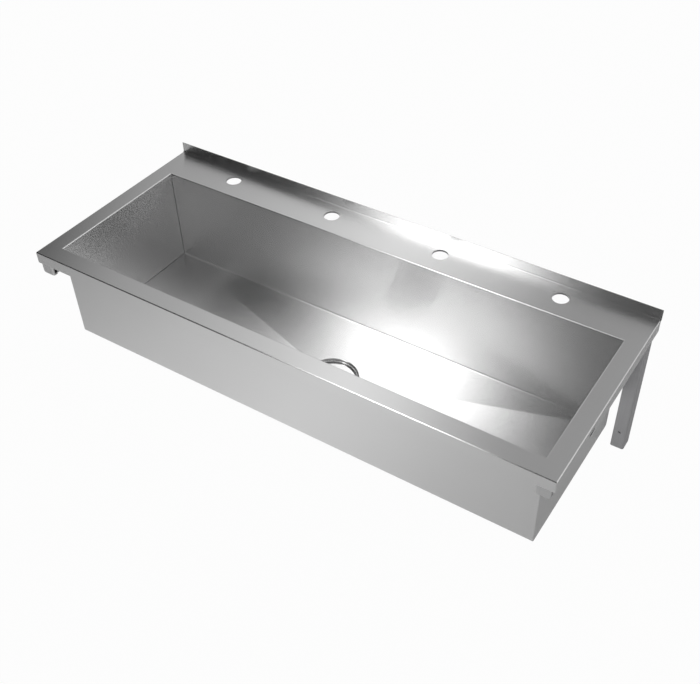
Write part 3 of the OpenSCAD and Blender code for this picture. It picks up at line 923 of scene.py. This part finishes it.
def nut_outline(flats, low, high):
    """A hexagon nut by its width across the flats, in millimetres."""
    half, tip = flats / 2 * MM, flats / 2 / math.cos(math.pi / 6) * MM
    crown, edge = half * 0.97, (high - low) * 0.12
    corners = [(crown, low), (tip, low + edge), (tip, high - edge), (crown, high)]
    sides = [(six_sided(half, reach), z * MM) for reach, z in corners]
    return in_mm([(BORE, low)]) + sides + in_mm([(BORE, high)])


stem_nut = turned("stem_lock_nut", nut_outline(9, -274.5, -270.5), centre=WASTE, segments=96)
finish_piece(stem_nut, "basket", BRIGHT, ["stem_nut"], angle=25)

# %% [markdown]
# ## The brackets
# Each bracket is a leg of box section against the wall, drilled through for its screws, and an arm
# under the rim. Their outlines are drawn with a large arc outside and a small one inside each bend,
# then swept along their length.

# %% Sweep the legs and drill them
CHANNEL_IN, CHANNEL_MIDDLE, CHANNEL_OUT = 562.5, 577.5, 592.5
WALL, OUTER_BEND, INNER_BEND, CUT_EDGE = 2, 4, 2, 0.3
LEG_FRONT, LEG_FOOT = -34, -345
SCREW_HEIGHTS, SCREW_HOLE = (-298, -98), 3.25


def bent_outline(corners, side=1):
    """Rounds corners given in millimetres, on the right, or on the left for side -1."""
    return rounded([(side * a * MM, b * MM, radius * MM) for a, b, radius in corners])


def box_outline(side, inset, radius):
    """Outline of a leg's box section, or of its hollow with an inset of the wall's thickness."""
    low, high, front = CHANNEL_IN + inset, CHANNEL_OUT - inset, LEG_FRONT + inset
    corners = ((low, front), (high, front), (high, -inset), (low, -inset))
    return bent_outline([(a, b, radius) for a, b in corners], side)


def screw_cutter(x, z):
    outline = in_mm([(SCREW_HOLE, -40), (SCREW_HOLE, 5), (0, 5), (0, -40)])
    cutter = turned("cutter", outline, segments=48)
    cutter.data.transform(Matrix.Translation((x, 0, z)) @ Matrix.Rotation(math.radians(-90), 4, "X"))
    return cutter


for side, hand in ((-1, "left"), (1, "right")):
    leg = sweep(hand + "_leg", box_outline(side, 0, OUTER_BEND), "z", LEG_FOOT * MM, -SHEET)
    cut_with(leg, [sweep("cutter", box_outline(side, WALL, INNER_BEND), "z", (LEG_FOOT - 5) * MM, 5 * MM)])
    cut_with(leg, [screw_cutter(side * CHANNEL_MIDDLE * MM, z * MM) for z in SCREW_HEIGHTS])
    finish_piece(leg, "trough", MILL_AND_PAINTED_SHADE, [hand + "_bracket_leg"])

# %% [markdown]
# ## Arms and tabs
# An arm is a channel that is open towards the rim and ends in a folded tab, which shows below the
# rim's front corner. The channel is swept from the leg to the front. The tab is swept upwards, and its
# outer lower corner is cut to an arc.

# %% Sweep the arms and fold their tabs
ARM_FLOOR, ARM_TOP, ARM_FRONT = -50, -1.2, -473.5
TAB_FRONT, TAB_BACK = -477.5, -468
STUD_ROWS, STUD_HOLE = (-400, -110), 3.4
STUD_PLACES = [(side * CHANNEL_MIDDLE * MM, y * MM) for side in (-1, 1) for y in STUD_ROWS]


def channel_outline(side):
    """Outline of an arm across its length, open at the top."""
    x_in, x_out, inner_floor = CHANNEL_IN + WALL, CHANNEL_OUT - WALL, ARM_FLOOR + WALL
    return bent_outline([
        (CHANNEL_IN, ARM_TOP, CUT_EDGE), (CHANNEL_IN, ARM_FLOOR, OUTER_BEND),
        (CHANNEL_OUT, ARM_FLOOR, OUTER_BEND), (CHANNEL_OUT, ARM_TOP, CUT_EDGE),
        (x_out, ARM_TOP, CUT_EDGE), (x_out, inner_floor, INNER_BEND),
        (x_in, inner_floor, INNER_BEND), (x_in, ARM_TOP, CUT_EDGE)], side)


def tab_outline(side):
    """Outline of the tab seen from above: it turns from the arm's inner side across its end."""
    x_in, inner_face = CHANNEL_IN + WALL, TAB_FRONT + WALL
    return bent_outline([
        (CHANNEL_IN, TAB_BACK, 0), (CHANNEL_IN, TAB_FRONT, OUTER_BEND), (CHANNEL_OUT, TAB_FRONT, CUT_EDGE),
        (CHANNEL_OUT, inner_face, CUT_EDGE), (x_in, inner_face, INNER_BEND), (x_in, TAB_BACK, 0)], side)


def corner_cutter(side, radius=6):
    """Cuts the tab's outer lower corner to an arc."""
    x, z = CHANNEL_OUT, ARM_FLOOR
    points = ([(x + 1, z - 1), (x + 1, z + radius)] + arc((x - radius, z + radius), radius, 0, -90, 8)
              + [(x - radius, z - 1)])
    outline = [Vector((side * a * MM, b * MM)) for a, b in points]
    return sweep("cutter", outline, "y", -480 * MM, -470 * MM)


for side, hand in ((-1, "left"), (1, "right")):
    arm = sweep(hand + "_arm", channel_outline(side), "y", ARM_FRONT * MM, LEG_FRONT * MM)
    cut_with(arm, [round_cutter(x, y, -55 * MM, -45 * MM, STUD_HOLE * MM)
                   for x, y in STUD_PLACES if x * side > 0])
    tab = sweep(hand + "_tab", tab_outline(side), "z", ARM_FLOOR * MM, -SHEET)
    cut_with(tab, [corner_cutter(side)])
    finish_piece(join_into(arm, [tab]), "trough", ARM, [hand + "_bracket_arm"])

# %% [markdown]
# ## Studs, washers and nuts
# Four studs are welded under the rim, pass through the arms and take a washer and a nut each. Threads
# are short and small, so a few points per turn are enough.

# %% Fixings at the four studs
def at_studs(name, outline, segments):
    made = [turned(name, outline, centre=place, segments=segments) for place in STUD_PLACES]
    return join_into(made[0], made[1:])


stud = (in_mm([(0, -59), (2.5, -59)]) + threaded(3 * MM, 0.32 * MM, 1 * MM, -58.6 * MM, -46 * MM)
        + [(3 * MM, -45 * MM), (3 * MM, -SHEET), (0, -SHEET)])
washer = in_mm(rounded([(BORE, -51.6, 0.2), (6.2, -51.6, 0.3), (6.2, -50, 0.3), (BORE, -50, 0.2)], steps=3))
nut = nut_outline(10, -56.6, -51.6)
for name, outline, segments, node, angle in (
        ("rim_studs", stud, 32, "bracket_studs", 60), ("arm_washers", washer, 64, "stud_washers", 35),
        ("arm_nuts", nut, 96, "stud_nuts", 25)):
    finish_piece(at_studs(name, outline, segments), "trough", BRIGHT, [node], angle=angle)

# %% [markdown]
# ## Plate, tag and pads
# The landing's stiffening plate is flat and drilled, and its CAD shape is already right, so it only
# takes its finish. The earth tag is a strip bent once and drilled, and the damping pads are cut sheets
# with rounded corners that follow the slope of the floor above them.

# %% Finish the plate, bend the tag and lay the pads
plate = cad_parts["landing_plate"]
plate.data.materials.clear()
plate.data.materials.append(PLATE)
for slot_in_use in plate.material_slots:
    slot_in_use.material = PLATE

tag_corners = [(-93.8, -209, 0.2), (-93.8, -195, 1.5), (-71.8, -195, 0.3), (-71.8, -196.5, 0.3),
               (-92.3, -196.5, 0.8), (-92.3, -209, 0.2)]
tag = sweep("earthing_tag", bent_outline(tag_corners), "x", 375 * MM, 395 * MM)
cut_with(tag, [round_cutter(385 * MM, -82.05 * MM, -200 * MM, -190 * MM, 2.6 * MM)])
finish_piece(tag, "trough", BRIGHT, ["earth_tag"])


def pad_outline(inset):
    low, high = 360 * MM + inset, 510 * MM - inset
    front, back = WASTE.y - 70 * MM + inset, WASTE.y + 70 * MM - inset
    corners = ((low, front), (high, front), (high, back), (low, back))
    return rounded([(x, y, 12 * MM - inset) for x, y in corners])


def damping_pad(side):
    """Rows of the pad's edge from the floor's underside down, the last one in by a millimetre."""
    rows = []
    for inset, down in ((0, 0), (0, 1.7), (MM, 2.5)):
        row = []
        for p in pad_outline(inset):
            underside = -BOWL_DEPTH - FLOOR_FALL - SHEET + FLOOR_FALL * p.x / BOWL_HALF
            row.append(Vector((side * p.x, p.y, underside - down * MM)))
        rows.append(row)
    shape = new_shape()
    add_rows(shape, rows, closed=True)
    for row in (rows[0], rows[-1]):
        add_face(shape, row, [(p.x, p.y) for p in row])
    return to_object("pad", shape)


pads = join_into(damping_pad(-1), [damping_pad(1)])
pads.name = "floor_pads"
finish_piece(pads, "trough", PAD, ["sound_pads"])

# %% [markdown]
# ## Weld beads
# A welded bracket shows where it was joined. Each bead is a low round ridge with ripples, laid along
# the joint as rows across its path.

# %% Lay the beads
def bead(points, across, away, width=2.2 * MM, height=1.0 * MM):
    """A ridge along a straight path: across is its width's direction and away is outwards."""
    start, end = Vector(points[0]), Vector(points[1])
    across, away = Vector(across).normalized(), Vector(away).normalized()
    count = max(8, round((end - start).length / (0.9 * MM)))
    rows = []
    for k in range(9):
        angle = math.pi * k / 8
        row = []
        for j in range(count + 1):
            t = j / count
            end_taper = min(1, 6 * min(t, 1 - t) + 0.25)
            uneven = noise.noise(Vector((j * 0.7, start.x * 50, start.z * 50)))
            ripple = 1 + 0.16 * math.cos(math.pi * j) + 0.1 * uneven
            sideways = across * (math.cos(angle) * width * end_taper)
            outwards = away * (math.sin(angle) * height * end_taper * ripple)
            row.append(start.lerp(end, t) + sideways + outwards)
        rows.append(row)
    shape = new_shape()
    add_rows(shape, rows)
    return to_object("bead", shape, facing=start + away)


JOINT_Y = -34.6 * MM
beads = []
for side in (-1, 1):
    x_in, x_out, x_side = (side * x * MM for x in (CHANNEL_IN + 5, CHANNEL_OUT - 5, CHANNEL_OUT))
    beads.append(bead([(x_in, JOINT_Y, -50.2 * MM), (x_out, JOINT_Y, -50.2 * MM)],
                      (0, 0.8, -1), (0, -1, -0.8)))
    beads.append(bead([(x_side, JOINT_Y, -44 * MM), (x_side, JOINT_Y, -12 * MM)],
                      (0.6 * side, 1, 0), (0.6 * side, -1, 0), 1.8 * MM, 0.8 * MM))
beads.append(bead([(376 * MM, -92.9 * MM, -209.3 * MM), (394 * MM, -92.9 * MM, -209.3 * MM)],
                  (0, 1, -1), (0, 1, -1), 1.2 * MM, 0.8 * MM))
welds = join_into(beads[0], beads[1:])
welds.name = "weld_beads"
finish_piece(welds, "trough", WELD, angle=80)

# %% [markdown]
# ## Light by ray and by place
# The photograph's ground is plain white, while the steel mirrors a room that isn't. So one helper sets
# a share of white for the camera and another for what is mirrored. The other two make a smooth step,
# and a brightness that changes from side to side.

# %% Helpers for floor and room
def mapped_range(tree, value, from_low, from_high, low, high):
    """Goes smoothly from low to high while the value goes from from_low to from_high."""
    node = tree.nodes.new("ShaderNodeMapRange")
    node.interpolation_type = "SMOOTHSTEP"
    labels = ("From Min", "From Max", "To Min", "To Max")
    for label, number in zip(labels, (from_low, from_high, low, high)):
        node.inputs[label].default_value = number
    tree.links.new(value, node.inputs["Value"])
    return node.outputs[0]


def seen_by(tree, camera_share, metal_share):
    """Share of plain white: one value for the camera, another for what steel and glass reflect."""
    path = tree.nodes.new("ShaderNodeLightPath")
    mirrored = link_maths(tree, "ADD", path.outputs["Is Glossy Ray"], path.outputs["Is Transmission Ray"])
    direct = link_maths(tree, "MULTIPLY", path.outputs["Is Camera Ray"], camera_share)
    reflected = link_maths(tree, "MULTIPLY", mirrored, metal_share)
    return link_maths(tree, "MINIMUM", link_maths(tree, "ADD", direct, reflected), 1)


def level_ramp(tree, value, stops):
    """Brightness from side to side. A stop is (place from -1 to 1, level)."""
    ramp = tree.nodes.new("ShaderNodeValToRGB")
    ramp.color_ramp.interpolation = "LINEAR"
    while len(ramp.color_ramp.elements) < len(stops):
        ramp.color_ramp.elements.new(0.5)
    brightest = max(level for place, level in stops)
    for element, (place, level) in zip(ramp.color_ramp.elements, stops):
        element.position = place / 2 + 0.5
        element.color = (level / brightest,) * 3 + (1,)
    tree.links.new(value, ramp.inputs["Fac"])
    return link_maths(tree, "MULTIPLY", ramp.outputs["Color"], brightest)


# %% [markdown]
# ## The floor
# The trough hangs at working height, so the floor lies well below it. It is pale and plain. The camera
# sees it as almost white, with the faint shadow that falls on it. The steel sees it dim, but for a pool
# of light in front of the trough that is brightest a little left of the middle.

# %% Make the pale floor
FLOOR_LEVEL = -0.86
FLOOR_REACH = 9
FLOOR_POOL = [(-0.8, 0.05), (-0.45, 0.37), (-0.2, 0.5), (0.05, 0.22), (0.35, 0.08)]


floor_shape = new_shape()
add_rows(floor_shape, [[Vector((x, y, FLOOR_LEVEL)) for x in (-FLOOR_REACH, FLOOR_REACH)]
                       for y in (-FLOOR_REACH, FLOOR_REACH)])
floor = to_object("floor", floor_shape, facing=(0, 0, 3))
floor_material, tree, shader = new_material("pale floor", 0)
shader.inputs["Base Color"].default_value = (0.6, 0.6, 0.6, 1)
shader.inputs["Roughness"].default_value = 0.9
glow = tree.nodes.new("ShaderNodeEmission")
glow.inputs["Color"].default_value = (1, 1, 1, 1)
blend = tree.nodes.new("ShaderNodeMixShader")
tree.links.new(seen_by(tree, camera_share=0.97, metal_share=0.05), blend.inputs["Fac"])
tree.links.new(shader.outputs[0], blend.inputs[1])
tree.links.new(glow.outputs[0], blend.inputs[2])
spot = tree.nodes.new("ShaderNodeSeparateXYZ")
tree.links.new(tree.nodes.new("ShaderNodeTexCoord").outputs["Object"], spot.inputs[0])
across = link_maths(tree, "ADD", link_maths(tree, "MULTIPLY", spot.outputs["X"], 0.25), 0.5)
pool = level_ramp(tree, across, FLOOR_POOL)
in_front = mapped_range(tree, spot.outputs["Y"], -0.7, -0.1, 1, 0)
pooled = tree.nodes.new("ShaderNodeEmission")
mirrored = tree.nodes.new("ShaderNodeLightPath").outputs["Is Glossy Ray"]
lit = link_maths(tree, "MULTIPLY", link_maths(tree, "MULTIPLY", pool, in_front), mirrored)
tree.links.new(lit, pooled.inputs["Strength"])
both = tree.nodes.new("ShaderNodeAddShader")
tree.links.new(blend.outputs[0], both.inputs[0])
tree.links.new(pooled.outputs[0], both.inputs[1])
tree.links.new(both.outputs[0], tree.nodes["Material Output"].inputs["Surface"])
floor.data.materials.append(floor_material)
print("floor at", FLOOR_LEVEL, "m")

# %% [markdown]
# ## The studio
# Brushed steel shows the room more than itself. A white backdrop stands all round up to a low height,
# and the camera sees only white. Above it hangs the studio's ceiling, given as brightness from side to
# side. In front it has one bright panel left of the trough, with dark beside it. Behind, it is softer,
# with a weak light left of the middle and a wide one to the right.

# %% Light the room
FRONT_CEILING = [(-0.5, 0), (-0.45, 1.2), (-0.4, 4.2), (-0.35, 5.2), (-0.3, 1.8), (-0.25, 0),
                 (-0.19, 0), (-0.1, 0.35), (0.1, 0.1), (0.45, 0.1), (0.85, 0.6)]
BACK_CEILING = [(-0.78, 0), (-0.7, 0.07), (-0.63, 0.55), (-0.58, 0.64), (-0.5, 0.87), (-0.42, 1.18),
                (-0.34, 0.82), (-0.26, 0.44), (-0.18, 0.48), (0.1, 1.05), (0.5, 1.05), (0.85, 2.1)]
BACKDROP_TOP = (0.2, 0.35)

world = bpy.data.worlds.new("studio")
bpy.context.scene.world = world
world.use_nodes = True
tree = world.node_tree
tree.nodes.clear()
split = tree.nodes.new("ShaderNodeSeparateXYZ")
tree.links.new(tree.nodes.new("ShaderNodeTexCoord").outputs["Generated"], split.inputs[0])
sideways = link_maths(tree, "ADD", link_maths(tree, "MULTIPLY", split.outputs["X"], 0.5), 0.5)
front_ceiling = level_ramp(tree, sideways, FRONT_CEILING)
back_ceiling = level_ramp(tree, sideways, BACK_CEILING)
behind = mapped_range(tree, split.outputs["Y"], -0.25, 0.25, 0, 1)
ceiling = tree.nodes.new("ShaderNodeMix")
tree.links.new(behind, ceiling.inputs["Factor"])
tree.links.new(front_ceiling, ceiling.inputs["A"])
tree.links.new(back_ceiling, ceiling.inputs["B"])
lights = tree.nodes.new("ShaderNodeBackground")
above = mapped_range(tree, split.outputs["Z"], *BACKDROP_TOP, 0, 1)
tree.links.new(link_maths(tree, "MULTIPLY", ceiling.outputs["Result"], above), lights.inputs["Strength"])
white = tree.nodes.new("ShaderNodeBackground")
white.inputs["Color"].default_value = (1, 1, 1, 1)
low = mapped_range(tree, split.outputs["Z"], *BACKDROP_TOP, 1, 0)
dim = link_maths(tree, "ADD", link_maths(tree, "MULTIPLY", behind, 0.25), 0.05)
backdrop = link_maths(tree, "MULTIPLY", low, dim)
seen = tree.nodes.new("ShaderNodeMixShader")
tree.links.new(seen_by(tree, camera_share=1.0, metal_share=backdrop), seen.inputs["Fac"])
tree.links.new(lights.outputs[0], seen.inputs[1])
tree.links.new(white.outputs[0], seen.inputs[2])
output = tree.nodes.new("ShaderNodeOutputWorld")
tree.links.new(seen.outputs[0], output.inputs["Surface"])


def soft_lamp(name, place, target, size, power):
    data = bpy.data.lights.new(name, "AREA")
    data.shape = "RECTANGLE"
    data.size, data.size_y = size
    data.energy = power
    lamp = bpy.data.objects.new(name, data)
    lamp.location = place
    lamp.rotation_euler = (Vector(target) - Vector(place)).to_track_quat("-Z", "Y").to_euler()
    bpy.context.scene.collection.objects.link(lamp)


soft_lamp("front soft box", (-1.0, -2.2, 2.6), (0, -0.2, -0.1), (1.6, 1.2), 3)
bpy.context.scene.view_settings.view_transform = "Standard"
